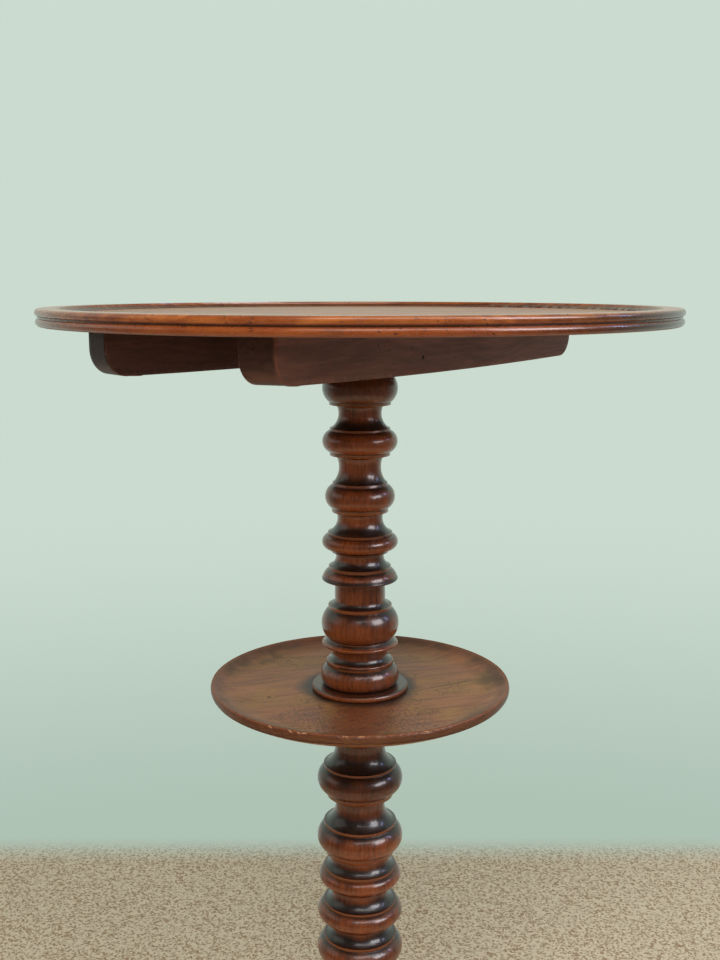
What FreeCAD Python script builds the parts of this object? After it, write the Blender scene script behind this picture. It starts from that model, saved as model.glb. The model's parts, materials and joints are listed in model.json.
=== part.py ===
import FreeCAD, Part
import os
import types
import Sketcher

# A gueridon with a tilting dished top, a ring-turned column, a small dished tier and a tripod.
# Frame: millimetres, +Z up, origin on the floor under the column, bearers along Y, pivots along X.

# Driving sizes in millimetres.
SIZES = {
    "overall_height": 760.0,
    "tier_field_height": 430.8,
    "column_foot_height": 62.0,
    # Table top
    "top_radius": 260.0,
    "lower_bead_height": 7.0,
    "upper_bead_height": 6.5,
    "bead_groove_width": 1.4,
    "bead_groove_depth": 2.2,
    "lower_bead_undercut": 4.2,
    "upper_bead_shoulder": 3.4,
    "bead_bow": 2.7,
    "rim_width": 17.0,
    "rim_wall_run": 5.0,
    "rim_wall_bow": 1.2,
    "dish_depth": 4.5,
    # Bearers under the top
    "bearer_length": 445.0,
    "bearer_thickness": 25.6,
    "bearer_depth": 35.6,
    "bearer_gap": 124.0,
    "bearer_end_skew": 7.4,
    "bearer_belly": 2.0,
    "bearer_corner": 19.5,
    "bearer_screw_reach": 6.5,
    "pivot_screw_gap": 1.2,
    "plug_radius": 5.0,
    "plug_depth": 9.0,
    "plug_proud": 0.8,
    # Pivot block
    "block_depth": 72.0,
    "block_height": 35.3,
    "block_side_clearance": 0.8,
    "block_top_gap": 0.3,
    "pivot_drop": 17.6,
    "pivot_radius": 8.0,
    "pivot_reach": 16.0,
    "pivot_clearance": 0.05,
    "pivot_end_clearance": 1.0,
    # Upper column, its tenon and its wedge
    "upper_ring_radius": 33.0,
    "neck_radius": 24.0,
    "neck_height": 6.3,
    "tenon_radius": 15.0,
    "tenon_shortfall": 0.4,
    "wedge_top_width": 4.0,
    "wedge_tip_width": 1.2,
    "wedge_depth": 26.0,
    "spigot_radius": 14.0,
    "spigot_length": 58.0,
    "spigot_end_clearance": 2.0,
    # Tier between the two columns
    "tier_radius": 129.5,
    "tier_rim_height": 7.5,
    "tier_rim_width": 5.0,
    "tier_wall_run": 7.0,
    "tier_wall_bow": 1.4,
    "tier_edge_height": 9.5,
    "tier_edge_run": 3.6,
    "tier_edge_shoulder": 0.8,
    "tier_edge_bow": 2.0,
    "tier_hub_radius": 47.0,
    "tier_hub_thickness": 22.8,
    "tier_belly_bow": 5.0,
    # Lower column
    "lower_ring_radius": 38.0,
    "drum_radius": 36.0,
    # Legs
    "leg_top_height": 142.0,
    "leg_thickness": 28.0,
    "foot_reach": 228.0,
    "foot_radius": 17.0,
    "foot_height": 12.0,
    "foot_round": 4.0,
    "tongue_depth": 14.0,
    "tongue_neck_width": 13.0,
    "tongue_root_width": 18.0,
    "tongue_height": 68.0,
    # Iron brace under the tripod
    "brace_thickness": 3.0,
    "brace_hub_radius": 24.0,
    "brace_arm_reach": 78.0,
    "brace_arm_width": 16.0,
    "brace_screw_reach": 62.0,
    # Catch under the top
    "catch_plate_width": 36.0,
    "catch_plate_thickness": 2.4,
    "catch_plate_start": 5.0,
    "strap_length": 9.0,
    "strap_thickness": 2.0,
    "bolt_width": 14.0,
    "bolt_thickness": 5.0,
    "bolt_nose_chamfer": 1.5,
    "bolt_tail": 5.0,
    "bolt_clearance": 0.25,
    "bolt_standoff": 2.0,
    "bolt_travel": 10.0,
    "knob_stem_radius": 3.0,
    "knob_face_radius": 4.4,
    "knob_face_bow": 0.6,
    "knob_swell": 2.1,
    "knob_neck_height": 5.0,
    "knob_height": 11.0,
    "knob_stop_gap": 0.5,
    # Strike plate on the block
    "strike_width": 40.0,
    "strike_height": 18.0,
    "strike_thickness": 1.6,
    "strike_top_margin": 0.6,
    "strike_hole_clearance": 0.6,
    "strike_mortise_depth": 10.0,
    # Screws
    "screw_head_radius": 4.2,
    "screw_head_height": 2.6,
    "screw_shank_radius": 2.1,
    "small_screw_head_radius": 2.6,
    "small_screw_shank_radius": 1.2,
    "small_screw_length": 7.5,
    "brace_screw_length": 22.0,
    "screw_tip_height": 2.0,
    # Fits
    "wood_clearance": 0.05,
    "cut_overrun": 5.0,
}

# Turned outlines from the top down, one row for each corner:
# share of the length, share of the ring radius, and the bow of the edge that arrives there,
# as a share of the ring radius, swelling where it is positive and hollow where it is negative.
UPPER_TURNING_SHARES = (
    # Bulb under the block, its fillet and a hollow
    (1.000, 0.803, 0.0),
    (0.917, 0.818, 0.152),
    (0.917, 0.788, 0.0),
    (0.907, 0.788, 0.0),
    (0.907, 0.612, 0.0),
    (0.835, 0.745, -0.124),
    # Second bulb between fillets, and a hollow
    (0.835, 0.773, 0.0),
    (0.828, 0.773, 0.0),
    (0.828, 0.776, 0.0),
    (0.761, 0.788, 0.182),
    (0.761, 0.776, 0.0),
    (0.751, 0.776, 0.0),
    (0.751, 0.621, 0.0),
    (0.666, 0.679, -0.109),
    # Third bulb between fillets, and a hollow
    (0.666, 0.703, 0.0),
    (0.658, 0.703, 0.0),
    (0.658, 0.721, 0.0),
    (0.586, 0.739, 0.170),
    (0.586, 0.727, 0.0),
    (0.574, 0.727, 0.0),
    (0.574, 0.618, 0.0),
    (0.509, 0.812, -0.118),
    # Flat ring between fillets, and a hollow
    (0.509, 0.830, 0.0),
    (0.501, 0.830, 0.0),
    (0.501, 0.806, 0.0),
    (0.456, 0.782, 0.188),
    (0.456, 0.745, 0.0),
    (0.447, 0.745, 0.0),
    (0.447, 0.648, 0.0),
    (0.401, 0.782, -0.082),
    # Ring with an undercut lower edge, over a straight neck
    (0.401, 0.806, 0.0),
    (0.392, 0.806, 0.0),
    (0.392, 0.800, 0.0),
    (0.365, 0.973, 0.036),
    (0.357, 0.958, 0.024),
    (0.353, 0.648, 0.0),
    (0.303, 0.658, 0.0),
    (0.275, 0.812, -0.061),
    # Large bulb between fillets, over a thin flange
    (0.275, 0.830, 0.0),
    (0.266, 0.830, 0.0),
    (0.266, 0.815, 0.0),
    (0.168, 0.836, 0.188),
    (0.168, 0.861, 0.0),
    (0.155, 0.982, -0.018),
    (0.147, 0.976, 0.015),
    (0.143, 0.727, 0.0),
    (0.124, 0.715, 0.0),
    (0.097, 0.848, -0.048),
    # Half round foot and the flange that stands on the tier
    (0.093, 0.879, 0.006),
    (0.082, 0.879, 0.0),
    (0.082, 0.861, 0.0),
    (0.018, 0.939, 0.127),
    (0.018, 1.212, 0.0),
    (0.000, 1.212, 0.055),
)
LOWER_TURNING_SHARES = (
    # Flange under the tier, half round and a long hollow
    (1.000, 1.079, 0.0),
    (0.986, 1.079, 0.039),
    (0.986, 0.776, 0.0),
    (0.942, 0.750, 0.105),
    (0.942, 0.737, 0.0),
    (0.936, 0.737, 0.0),
    (0.936, 0.645, 0.0),
    (0.866, 0.803, -0.137),
    # First large bulb between fillets, and a hollow
    (0.866, 0.842, 0.0),
    (0.860, 0.842, 0.0),
    (0.860, 0.805, 0.0),
    (0.792, 0.779, 0.200),
    (0.792, 0.774, 0.0),
    (0.782, 0.774, 0.0),
    (0.782, 0.632, 0.0),
    (0.710, 0.803, -0.132),
    # Second large bulb between fillets, and a hollow
    (0.710, 0.847, 0.0),
    (0.703, 0.847, 0.0),
    (0.703, 0.816, 0.0),
    (0.636, 0.800, 0.192),
    (0.636, 0.795, 0.0),
    (0.625, 0.795, 0.0),
    (0.625, 0.684, 0.0),
    (0.588, 0.816, -0.063),
    # Narrow ring between fillets, and a hollow
    (0.588, 0.842, 0.0),
    (0.581, 0.842, 0.0),
    (0.581, 0.824, 0.0),
    (0.543, 0.797, 0.147),
    (0.543, 0.776, 0.0),
    (0.535, 0.776, 0.0),
    (0.535, 0.658, 0.0),
    (0.492, 0.816, -0.079),
    # Ring between fillets, and a hollow
    (0.492, 0.855, 0.0),
    (0.486, 0.855, 0.0),
    (0.486, 0.821, 0.0),
    (0.440, 0.816, 0.179),
    (0.440, 0.789, 0.0),
    (0.432, 0.789, 0.0),
    (0.432, 0.658, 0.0),
    (0.396, 0.816, -0.063),
    # Last bulb between fillets, and the hollow above the drum
    (0.396, 0.855, 0.0),
    (0.389, 0.855, 0.0),
    (0.389, 0.826, 0.0),
    (0.328, 0.821, 0.189),
    (0.328, 0.789, 0.0),
    (0.318, 0.789, 0.0),
    (0.318, 0.658, 0.0),
    (0.283, 0.842, -0.066),
)
DRUM_TOP_SHARE = 0.276

# Places of the outer screws along the bearers, as shares of half their length.
END_SCREW_SHARES = (-0.82, 0.88)

# Sections of a leg from inside the drum to the toe: share of the foot's reach, share of the top's
# height, tilt in degrees, share of the top's height for the half height, and share of the
# thickness for the half width.
LEG_SECTION_SHARES = (
    (0.105, 0.708, 0.0, 0.292, 0.500),
    (0.263, 0.676, 10.0, 0.254, 0.482),
    (0.461, 0.542, 33.0, 0.148, 0.429),
    (0.667, 0.317, 38.0, 0.106, 0.375),
    (0.842, 0.141, 22.0, 0.085, 0.386),
    (0.935, 0.095, 6.0, 0.070, 0.440),
    (0.974, 0.066, 38.0, 0.044, 0.300),
)
SECTION_CROWN_SHARE = 0.45
SECTION_SIDE_SHARE = 0.04
ARM_END_SHARE = 0.8
WEDGE_LENGTH_SHARE = 0.95
QUARTER_BOW_SHARE = 1 - 0.5 ** 0.5
THIRD_TURN_SHARE = 0.75 ** 0.5
LEG_COUNT = 3
FULL_TURN = 360.0
UP = FreeCAD.Vector(0, 0, 1)
ACROSS = FreeCAD.Vector(1, 0, 0)
LEG_TURNS = {"leg_back": 90.0, "leg_left": 210.0, "leg_right": 330.0}


class Measure:
    """A length that holds its number and the sheet expression that gives it."""

    def __init__(self, value, text):
        self.value = value
        self.text = text

    @staticmethod
    def of(other):
        if isinstance(other, Measure):
            return other
        return Measure(other, repr(other))

    def joined(self, sign, other, value):
        return Measure(value, f"({self.text} {sign} {other.text})")

    def __add__(self, other):
        other = Measure.of(other)
        return self.joined("+", other, self.value + other.value)

    def __sub__(self, other):
        other = Measure.of(other)
        return self.joined("-", other, self.value - other.value)

    def __mul__(self, other):
        other = Measure.of(other)
        return self.joined("*", other, self.value * other.value)

    def __truediv__(self, other):
        other = Measure.of(other)
        return self.joined("/", other, self.value / other.value)

    def __radd__(self, other):
        return Measure.of(other) + self

    def __rsub__(self, other):
        return Measure.of(other) - self

    def __rmul__(self, other):
        return Measure.of(other) * self

    def __neg__(self):
        return Measure(-self.value, f"(-1 * {self.text})")


doc = FreeCAD.newDocument("Gueridon")
nodes = []


def make_sheet():
    """Write the driving sizes to the sheet and return them as measures."""
    sheet = doc.addObject("Spreadsheet::Sheet", "Sizes")
    for row, (name, value) in enumerate(SIZES.items(), start=1):
        sheet.set(f"A{row}", name)
        sheet.set(f"B{row}", str(value))
        sheet.setAlias(f"B{row}", name)
    doc.recompute()
    return types.SimpleNamespace(**{name: Measure(value, f"Sizes.{name}") for name, value in SIZES.items()})


size = make_sheet()

# Heights and places that follow from the driving sizes.
top_thickness = size.lower_bead_height + size.upper_bead_height
underside_height = size.overall_height - top_thickness
field_thickness = top_thickness - size.dish_depth
block_top_height = underside_height - size.block_top_gap
block_bottom_height = block_top_height - size.block_height
upper_length = block_bottom_height - size.tier_field_height
tier_hub_bottom = size.tier_field_height - size.tier_hub_thickness
lower_length = tier_hub_bottom - size.column_foot_height
block_width = size.bearer_gap - 2 * size.block_side_clearance
pivot_round = size.pivot_drop - size.block_top_gap
pivot_y = pivot_round - size.block_depth / 2
bolt_half_gap = size.bolt_thickness / 2 + size.bolt_clearance
bolt_drop = size.catch_plate_thickness + bolt_half_gap
bolt_nose_y = size.block_depth / 2 + size.bolt_standoff
plate_front_y = size.block_depth / 2 + size.catch_plate_start
front_strap_end_y = plate_front_y + size.strap_length
knob_gap = size.knob_stem_radius + size.knob_stop_gap
knob_y = front_strap_end_y + knob_gap + size.bolt_travel
rear_strap_start_y = knob_y + knob_gap
bolt_end_y = rear_strap_start_y + size.strap_length + size.bolt_tail


def add_node(label, item):
    """Give a finished piece the label that names its file."""
    item.Label = label
    nodes.append(item)
    return item


def new_body(name, x=0, y=0, z=0, turn=0.0, axis=UP):
    """A body whose place is bound to the sheet."""
    body = doc.addObject("PartDesign::Body", name)
    body.Placement = FreeCAD.Placement(FreeCAD.Vector(0, 0, 0), FreeCAD.Rotation(axis, turn))
    for letter, reach in (("x", x), ("y", y), ("z", z)):
        if isinstance(reach, Measure):
            body.setExpression(f"Placement.Base.{letter}", reach.text)
    return body


def sketch_on(body, name, role, lift=None):
    """A sketch on one of the body's own origin planes, lifted along its normal."""
    sketch = body.newObject("Sketcher::SketchObject", name)
    plane = next(item for item in body.Origin.OriginFeatures if item.Role == role)
    sketch.AttachmentSupport = [(plane, "")]
    sketch.MapMode = "FlatFace"
    if lift is not None:
        sketch.setExpression("AttachmentOffset.Base.z", lift.text)
    return sketch


def bind(sketch, rules):
    """Add constraints, each with the measure that drives it or None."""
    first = sketch.ConstraintCount
    sketch.addConstraint([rule for rule, _ in rules])
    for step, (_, measure) in enumerate(rules):
        if measure is not None:
            sketch.setExpression(f"Constraints[{first + step}]", measure.text)


def pin_rules(geometry, spot, x, y):
    """Rules that hold one point of a sketch at x and y."""
    rules = []
    for kind, axis, reach in (("DistanceX", -2, x), ("DistanceY", -1, y)):
        if isinstance(reach, Measure):
            rules.append((Sketcher.Constraint(kind, -1, 1, geometry, spot, reach.value), reach))
        else:
            rules.append((Sketcher.Constraint("PointOnObject", geometry, spot, axis), None))
    return rules


def point(corner):
    x, y = (Measure.of(reach).value for reach in corner[:2])
    return FreeCAD.Vector(x, y, 0)


def bowed_edge(start, end, bow):
    """An arc from start to end that bows to the left of its way, and which ends it has first."""
    chord = end - start
    left = FreeCAD.Vector(-chord.y, chord.x, 0).normalize()
    middle = (start + end) * 0.5 + left * bow
    if bow < 0:
        return Part.Arc(start, middle, end), 1, 2
    return Part.Arc(end, middle, start), 2, 1


def outline(sketch, corners):
    """A closed outline through corners (x, y, bow), the bow belonging to the edge that arrives."""
    corners = [tuple(corner) + (0,) * (3 - len(corner)) for corner in corners]
    first = sketch.GeometryCount
    edges = []
    shapes = []
    rules = []
    for step, corner in enumerate(corners):
        following = corners[(step + 1) % len(corners)]
        geometry = first + step
        start, end = point(corner), point(following)
        bow = following[2]
        if isinstance(bow, Measure) and bow.value:
            shape, start_spot, end_spot = bowed_edge(start, end, bow.value)
            across = Measure.of(following[0]) - corner[0]
            along = Measure.of(following[1]) - corner[1]
            depth = bow if bow.value > 0 else -bow
            radius = (across * across + along * along) / (8 * depth) + depth / 2
            rules.append((Sketcher.Constraint("Radius", geometry, radius.value), radius))
        else:
            shape, start_spot, end_spot = Part.LineSegment(start, end), 1, 2
        shapes.append(shape)
        edges.append((geometry, start_spot, end_spot))
        rules.extend(pin_rules(geometry, start_spot, corner[0], corner[1]))
    for (geometry, _, end_spot), (following, start_spot, _) in zip(edges, edges[1:] + edges[:1]):
        rules.append((Sketcher.Constraint("Coincident", geometry, end_spot, following, start_spot), None))
    sketch.addGeometry(shapes)
    bind(sketch, rules)
    return sketch


def rectangle(sketch, left, right, low, high):
    return outline(sketch, [(left, low), (right, low), (right, high), (left, high)])


def circles(sketch, places, radius):
    """Equal circles at places (x, y)."""
    for x, y in places:
        geometry = sketch.GeometryCount
        sketch.addGeometry(Part.Circle(point((x, y)), UP, radius.value))
        rules = pin_rules(geometry, 3, x, y)
        rules.append((Sketcher.Constraint("Radius", geometry, radius.value), radius))
        bind(sketch, rules)
    return sketch


def revolve(body, corners):
    """Turn an outline in the XZ plane about Z."""
    sketch = outline(sketch_on(body, "Outline", "XZ_Plane"), corners)
    turned = body.newObject("PartDesign::Revolution", "Turned")
    turned.Profile = sketch
    turned.ReferenceAxis = (sketch, ["V_Axis"])
    turned.Angle = FULL_TURN
    return turned


def extrude(body, kind, sketch, length=None, both=False, back=False):
    """A pad or a pocket of a sketch; with no length it goes through everything."""
    feature = body.newObject(f"PartDesign::{kind}", kind)
    feature.Profile = sketch
    if both:
        feature.SideType = "Symmetric"
    feature.Reversed = back
    if length is None:
        feature.Type = "ThroughAll"
    else:
        feature.setExpression("Length", length.text)
    return feature


def cut(body, sketch, length=None, both=False, back=False):
    """A pocket that has to take something away."""
    doc.recompute()
    before = body.Shape.Volume
    feature = extrude(body, "Pocket", sketch, length, both, back)
    doc.recompute()
    if body.Shape.Volume >= before:
        raise RuntimeError(f"{body.Name}: {sketch.Name} cuts nothing")
    return feature


def group(label, items):
    """Like pieces that share one node as separate solids."""
    compound = doc.addObject("Part::Compound", label)
    compound.Links = items
    return add_node(label, compound)


def turning(shares, length, radius):
    """Corners of a turned outline, from the top down, from its table of shares."""
    return [(radius * wide, length * high, radius * bow) for high, wide, bow in shares]


def make_top():
    """Dished disc with two beads round its edge, screwed to the bearers from below."""
    body = new_body("TableTop", z=underside_height)
    edge = size.top_radius - size.bead_groove_depth
    half_groove = size.bead_groove_width / 2
    rim = size.top_radius - size.rim_width
    revolve(body, [
        (0, 0),
        (size.top_radius - size.lower_bead_undercut, 0),
        (edge, size.lower_bead_height - half_groove, -size.bead_bow),
        (edge, size.lower_bead_height + half_groove),
        (size.top_radius - size.upper_bead_shoulder, top_thickness, -size.bead_bow),
        (rim, top_thickness),
        (rim - size.rim_wall_run, field_thickness, size.rim_wall_bow),
        (0, field_thickness),
    ])
    holes = circles(
        sketch_on(body, "BearerScrewHoles", "XY_Plane"),
        bearer_screw_places(),
        size.screw_shank_radius + size.wood_clearance,
    )
    cut(body, holes, size.bearer_screw_reach + size.wood_clearance, back=True)
    pilots = circles(
        sketch_on(body, "CatchScrewHoles", "XY_Plane"),
        catch_screw_places(),
        size.small_screw_shank_radius + size.wood_clearance,
    )
    depth = size.small_screw_length - size.catch_plate_thickness + size.wood_clearance
    cut(body, pilots, depth, back=True)
    add_node("table_top", body)


def bearer_screw_rows():
    """Places of the screws along a bearer, one near each end and one beside the pivot."""
    beside = pivot_y + size.pivot_radius + size.screw_shank_radius + size.pivot_screw_gap
    return [beside] + [size.bearer_length / 2 * share for share in END_SCREW_SHARES]


def bearer_screw_places():
    """Centres of the screws along both bearers."""
    across = size.bearer_gap / 2 + size.bearer_thickness / 2
    return [(side * across, row) for side in (-1, 1) for row in bearer_screw_rows()]


def bearer_section(length):
    """Side view of a bearer: flat top, rounded lower corners and a slight belly."""
    half = length / 2
    shallow = size.bearer_depth - size.bearer_belly
    corner_bow = size.bearer_corner * QUARTER_BOW_SHARE
    return [
        (-half, 0),
        (-half, size.bearer_corner - shallow),
        (size.bearer_corner - half, -shallow, -corner_bow),
        (half - size.bearer_corner, -shallow, -size.bearer_belly),
        (half, size.bearer_corner - shallow, -corner_bow),
        (half, 0),
    ]


def make_bearer(label, side):
    """Batten with ends skewed to the rim, bored for the pivot and counterbored for its screws."""
    body = new_body(label.title(), x=side * size.bearer_gap / 2, z=underside_height)
    inner = outline(sketch_on(body, "InnerFace", "YZ_Plane"), bearer_section(size.bearer_length))
    short = size.bearer_length - 2 * size.bearer_end_skew
    outer = outline(
        sketch_on(body, "OuterFace", "YZ_Plane", side * size.bearer_thickness), bearer_section(short)
    )
    loft = body.newObject("PartDesign::AdditiveLoft", "Batten")
    loft.Profile = inner
    loft.Sections = [outer]
    loft.Ruled = True
    bore = circles(
        sketch_on(body, "PivotBore", "YZ_Plane"),
        [(pivot_y, -size.pivot_drop)],
        size.pivot_radius + size.pivot_clearance,
    )
    reach = size.pivot_reach - size.block_side_clearance + size.pivot_end_clearance
    cut(body, bore, reach, back=side > 0)
    across = side * size.bearer_thickness / 2
    places = [(across, row) for row in bearer_screw_rows()]
    seat = size.plug_depth + size.screw_head_height - size.bearer_depth
    wells = circles(
        sketch_on(body, "PlugWells", "XY_Plane", seat), places, size.plug_radius + size.wood_clearance
    )
    cut(body, wells, size.bearer_depth)
    shanks = circles(
        sketch_on(body, "ScrewHoles", "XY_Plane"), places, size.screw_shank_radius + size.wood_clearance
    )
    cut(body, shanks, size.bearer_depth)
    add_node(label, body)


def countersunk_screw(body, head_radius, shank_radius, length):
    """Screw that points up, with the face of its conical head at zero."""
    revolve(body, [
        (0, 0),
        (head_radius, 0),
        (shank_radius, head_radius - shank_radius),
        (shank_radius, length - size.screw_tip_height),
        (0, length),
    ])
    return body


def make_bearer_screws():
    """Screws up through the bearers into the top, each under a wooden plug."""
    screws = []
    plugs = []
    head_drop = size.bearer_depth - size.plug_depth
    length = head_drop + size.bearer_screw_reach
    for number, (x, y) in enumerate(bearer_screw_places()):
        screw = new_body(f"BearerScrew{number}", x, y, underside_height - head_drop)
        revolve(screw, [
            (0, 0),
            (size.screw_head_radius, 0),
            (size.screw_head_radius, size.screw_head_height),
            (size.screw_shank_radius, size.screw_head_height),
            (size.screw_shank_radius, length - size.screw_tip_height),
            (0, length),
        ])
        screws.append(screw)
        along = y / (size.bearer_length / 2)
        bottom = size.bearer_depth + size.plug_proud - size.bearer_belly * along * along
        plug = new_body(f"BearerPlug{number}", x, y, underside_height - bottom)
        height = bottom - head_drop
        revolve(plug, [(0, 0), (size.plug_radius, 0), (size.plug_radius, height), (0, height)])
        plugs.append(plug)
    group("bearer_screws", screws)
    group("bearer_plugs", plugs)


def make_block():
    """Block between the bearers, rounded about the pivots so that the top can stand upright."""
    body = new_body("PivotBlock", z=block_bottom_height)
    half = size.block_depth / 2
    pivot_height = size.block_height - pivot_round
    profile = outline(sketch_on(body, "EndView", "YZ_Plane"), [
        (-half, 0),
        (half, 0),
        (half, size.block_height),
        (pivot_y, size.block_height),
        (-half, pivot_height, -pivot_round * QUARTER_BOW_SHARE),
    ])
    extrude(body, "Pad", profile, block_width, both=True)
    pins = circles(sketch_on(body, "Pivots", "YZ_Plane"), [(pivot_y, pivot_height)], size.pivot_radius)
    extrude(body, "Pad", pins, block_width + 2 * size.pivot_reach, both=True)
    mortise = circles(
        sketch_on(body, "TenonHole", "XY_Plane"), [(0, 0)], size.tenon_radius + size.wood_clearance
    )
    cut(body, mortise, size.block_height + size.cut_overrun, back=True)
    high = size.block_height - size.strike_top_margin
    recess = rectangle(
        sketch_on(body, "StrikeRecess", "XZ_Plane", -half),
        -size.strike_width / 2,
        size.strike_width / 2,
        high - size.strike_height,
        high,
    )
    cut(body, recess, size.strike_thickness, back=True)
    hole = strike_hole(sketch_on(body, "BoltMortise", "XZ_Plane", -half), size.block_height)
    cut(body, hole, size.strike_thickness + size.strike_mortise_depth, back=True)
    pilots = circles(
        sketch_on(body, "StrikePilots", "XZ_Plane", -half),
        strike_screw_places(),
        size.small_screw_shank_radius + size.wood_clearance,
    )
    cut(body, pilots, size.small_screw_length + size.wood_clearance, back=True)
    add_node("pivot_block", body)


def strike_hole(sketch, block_top):
    """The slot that the bolt enters, at the bolt's height below the underside."""
    middle = block_top + size.block_top_gap - bolt_drop
    wide = size.bolt_width / 2 + size.strike_hole_clearance
    tall = size.bolt_thickness / 2 + size.strike_hole_clearance
    return rectangle(sketch, -wide, wide, middle - tall, middle + tall)


def strike_screw_places():
    """Centres of the strike plate's screws, midway between its slot and its ends."""
    slot = size.bolt_width / 2 + size.strike_hole_clearance
    across = (slot + size.strike_width / 2) / 2
    height = size.block_height - size.strike_top_margin - size.strike_height / 2
    return [(-across, height), (across, height)]


def countersink(body, places, role, head_radius, shank_radius, lift=None):
    """Screw holes along the normal of a plane, through a plate, with conical seats for the heads."""
    doc.recompute()
    seats = circles(sketch_on(body, "ScrewHoles", role, lift), places, shank_radius)
    doc.recompute()
    before = body.Shape.Volume
    holes = body.newObject("PartDesign::Hole", "Countersinks")
    holes.Profile = seats
    holes.Reversed = True
    holes.DepthType = "ThroughAll"
    holes.HoleCutType = "Countersink"
    holes.HoleCutCustomValues = True
    holes.setExpression("Diameter", (2 * (shank_radius + size.wood_clearance)).text)
    holes.setExpression("HoleCutDiameter", (2 * (head_radius + size.wood_clearance)).text)
    doc.recompute()
    if body.Shape.Volume >= before:
        raise RuntimeError(f"{body.Name}: the screw holes cut nothing")


def make_strike():
    """Brass plate let into the block, with the slot that the bolt enters."""
    body = new_body("StrikePlate", y=size.block_depth / 2, z=block_bottom_height)
    high = size.block_height - size.strike_top_margin - size.wood_clearance
    low = high - size.strike_height + 2 * size.wood_clearance
    wide = size.strike_width / 2 - size.wood_clearance
    sketch = rectangle(sketch_on(body, "Plate", "XZ_Plane"), -wide, wide, low, high)
    strike_hole(sketch, size.block_height)
    extrude(body, "Pad", sketch, size.strike_thickness - size.wood_clearance)
    countersink(
        body, strike_screw_places(), "XZ_Plane", size.small_screw_head_radius, size.small_screw_shank_radius
    )
    add_node("strike_plate", body)


def make_upper_column():
    """Ring-turned baluster with a plain neck and a wedged tenon above and a long spigot below."""
    body = new_body("UpperColumn", z=size.tier_field_height)
    tenon_top = upper_length + size.block_height - size.tenon_shortfall
    shoulder = upper_length - size.neck_height
    rings = turning(UPPER_TURNING_SHARES, shoulder, size.upper_ring_radius)
    foot = rings[-1]
    revolve(body, [
        (0, tenon_top),
        (size.tenon_radius, tenon_top),
        (size.tenon_radius, upper_length),
        (size.neck_radius, upper_length),
        (size.neck_radius, shoulder),
    ] + rings[:-1] + [
        (foot[0], 0, foot[2]),
        (size.spigot_radius, 0),
        (size.spigot_radius, -size.spigot_length),
        (0, -size.spigot_length),
    ])
    kerf = outline(sketch_on(body, "Kerf", "XZ_Plane"), wedge_corners(tenon_top))
    cut(body, kerf, 2 * (size.tenon_radius + size.cut_overrun), both=True)
    add_node("upper_column", body)


def wedge_corners(top):
    """End view of the wedge in the tenon's saw cut."""
    wide = size.wedge_top_width / 2
    narrow = size.wedge_tip_width / 2
    low = top - size.wedge_depth
    return [(-narrow, low), (narrow, low), (wide, top), (-wide, top)]


def make_wedge():
    """Wedge that spreads the tenon in the block."""
    body = new_body("TenonWedge", z=block_top_height - size.tenon_shortfall)
    profile = outline(sketch_on(body, "EndView", "XZ_Plane"), wedge_corners(Measure.of(0.0)))
    extrude(body, "Pad", profile, 2 * size.tenon_radius * WEDGE_LENGTH_SHARE, both=True)
    add_node("tenon_wedge", body)


def make_tier():
    """Small dished tray on a thick hub, bored for the upper column's spigot."""
    body = new_body("TierTray", z=tier_hub_bottom)
    bore = size.spigot_radius + size.wood_clearance
    field = size.tier_hub_thickness
    rim_top = field + size.tier_rim_height
    edge_low = rim_top - size.tier_edge_height
    inside = size.tier_radius - size.tier_rim_width
    revolve(body, [
        (bore, 0),
        (size.tier_hub_radius, 0),
        (size.tier_radius - size.tier_edge_run, edge_low, -size.tier_belly_bow),
        (size.tier_radius - size.tier_edge_shoulder, rim_top, -size.tier_edge_bow),
        (inside, rim_top),
        (inside - size.tier_wall_run, field, size.tier_wall_bow),
        (bore, field),
    ])
    add_node("tier_tray", body)


def tongue_corners(clearance):
    """Plan of a dovetail from inside the drum outwards, along +X."""
    root = size.tongue_root_width / 2 + clearance
    neck = size.tongue_neck_width / 2 + clearance
    inside = size.drum_radius - size.tongue_depth - clearance
    outside = size.drum_radius + size.cut_overrun
    return [(inside, -root), (outside, -neck), (outside, neck), (inside, root)]


def make_lower_column():
    """Ring-turned pillar with a socket above and three dovetail housings in its drum."""
    body = new_body("LowerColumn", z=size.column_foot_height, turn=LEG_TURNS["leg_back"])
    socket = size.spigot_radius + size.wood_clearance
    depth = size.spigot_length - size.tier_hub_thickness + size.spigot_end_clearance
    rings = turning(LOWER_TURNING_SHARES, lower_length, size.lower_ring_radius)
    revolve(body, [
        (0, lower_length - depth),
        (socket, lower_length - depth),
        (socket, lower_length),
    ] + rings + [
        (size.drum_radius, lower_length * DRUM_TOP_SHARE),
        (size.drum_radius, 0),
        (0, 0),
    ])
    housing = outline(sketch_on(body, "Housing", "XY_Plane"), tongue_corners(size.wood_clearance))
    first = cut(body, housing, size.tongue_height + size.wood_clearance, back=True)
    repeat_for_legs(body, first)
    pilot = circles(
        sketch_on(body, "BraceScrewHole", "XY_Plane"),
        [(0, 0)],
        size.screw_shank_radius + size.wood_clearance,
    )
    depth = size.brace_screw_length - size.brace_thickness
    cut(body, pilot, depth + size.wood_clearance, back=True)
    add_node("lower_column", body)


def repeat_for_legs(body, feature):
    """Repeat a feature round the column, once for each leg."""
    pattern = body.newObject("PartDesign::PolarPattern", "Repeat")
    pattern.Originals = [feature]
    pattern.Axis = (next(item for item in body.Origin.OriginFeatures if item.Role == "Z_Axis"), [""])
    pattern.Angle = FULL_TURN
    pattern.Occurrences = LEG_COUNT
    body.Tip = pattern


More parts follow.
